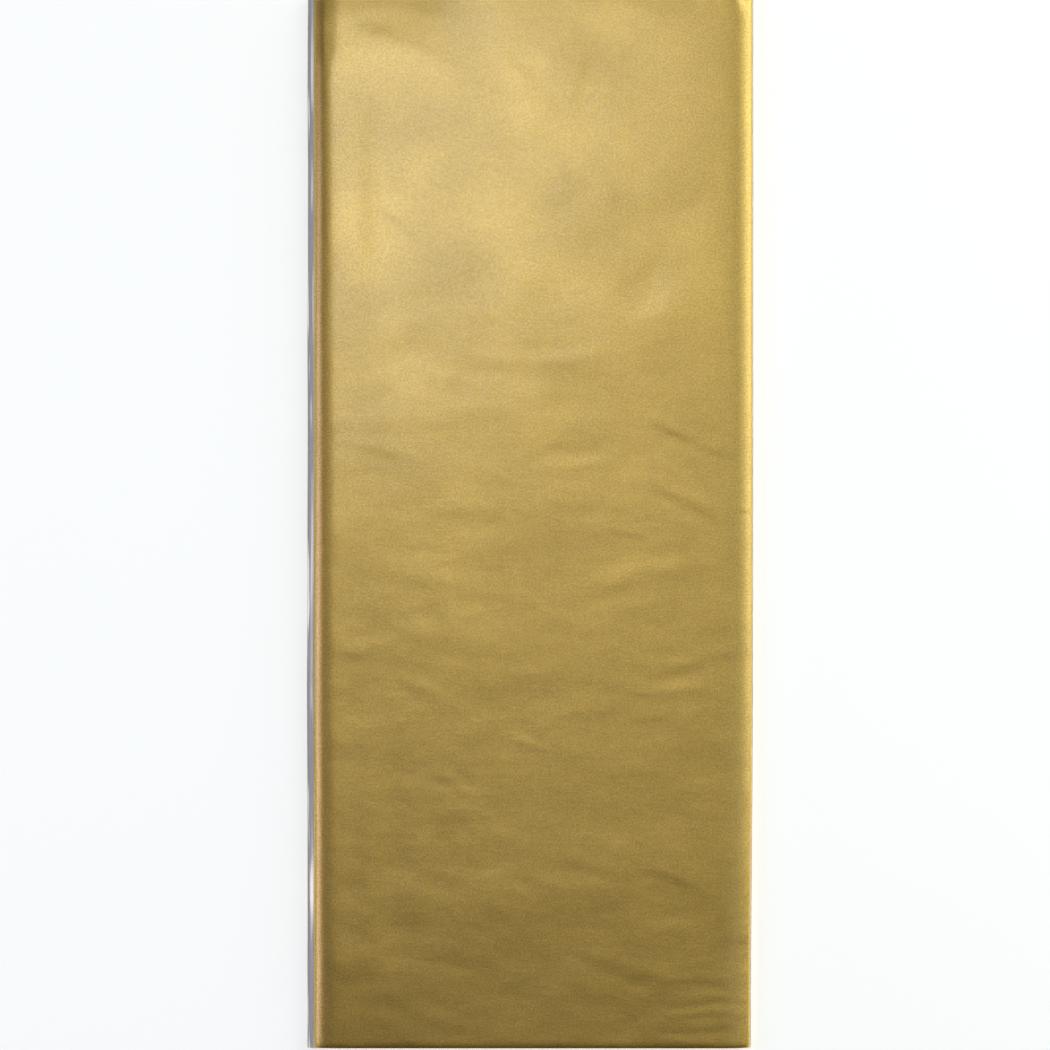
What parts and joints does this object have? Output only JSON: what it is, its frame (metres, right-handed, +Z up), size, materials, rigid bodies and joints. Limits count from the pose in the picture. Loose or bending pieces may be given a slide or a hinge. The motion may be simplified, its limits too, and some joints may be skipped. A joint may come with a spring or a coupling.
{
  "type": "gift tissue paper pack",
  "caption": "Flat retail pack of metallic gold gift tissue paper, rolled up as nested sheets in a snug clear film sleeve with a fold-over self-seal lip.",
  "frame": {"origin": "under the middle of the pack, on the surface that it rests on, with the pack lying on its back", "axes": "+Z up, out of the front of the pack; +Y along the pack to the sleeve's open mouth; +X to the right, seen from the front with the mouth at the top"},
  "size_m": [0.1406, 0.3316, 0.0062],
  "materials": {
    "gold_tissue": "satin",
    "clear_film": "gloss",
    "adhesive": "satin",
    "release_paper": "satin"
  },
  "bodies": {
    "sleeve": {"film_sleeve": "clear_film"},
    "lip": {"sleeve_lip": "clear_film", "adhesive_strip": "adhesive"},
    "liner": {"release_liner": "release_paper"},
    "sheet_1": {"tissue_sheet_1": "gold_tissue"},
    "sheet_2": {"tissue_sheet_2": "gold_tissue"},
    "sheet_3": {"tissue_sheet_3": "gold_tissue"},
    "sheet_4": {"tissue_sheet_4": "gold_tissue"},
    "sheet_5": {"tissue_sheet_5": "gold_tissue"},
    "sheet_6": {"tissue_sheet_6": "gold_tissue"}
  },
  "joints": [
    {"name": "lip_fold", "type": "hinge", "parent": "sleeve", "child": "lip", "pos_m": [0, 0.16565, 0.0004], "axis": [1, 0, 0], "range_deg": [0, 180]},
    {"name": "liner_pull", "type": "slide", "parent": "lip", "child": "liner", "axis": [1, 0, 0], "range_m": [0, 0.15]},
    {"name": "sheet_1_pull", "type": "slide", "parent": "sleeve", "child": "sheet_1", "axis": [0, 1, 0], "range_m": [0, 0.345]},
    {"name": "sheet_2_pull", "type": "slide", "parent": "sleeve", "child": "sheet_2", "axis": [0, 1, 0], "range_m": [0, 0.345]},
    {"name": "sheet_3_pull", "type": "slide", "parent": "sleeve", "child": "sheet_3", "axis": [0, 1, 0], "range_m": [0, 0.345]},
    {"name": "sheet_4_pull", "type": "slide", "parent": "sleeve", "child": "sheet_4", "axis": [0, 1, 0], "range_m": [0, 0.345]},
    {"name": "sheet_5_pull", "type": "slide", "parent": "sleeve", "child": "sheet_5", "axis": [0, 1, 0], "range_m": [0, 0.345]},
    {"name": "sheet_6_pull", "type": "slide", "parent": "sleeve", "child": "sheet_6", "axis": [0, 1, 0], "range_m": [0, 0.345]}
  ]
}
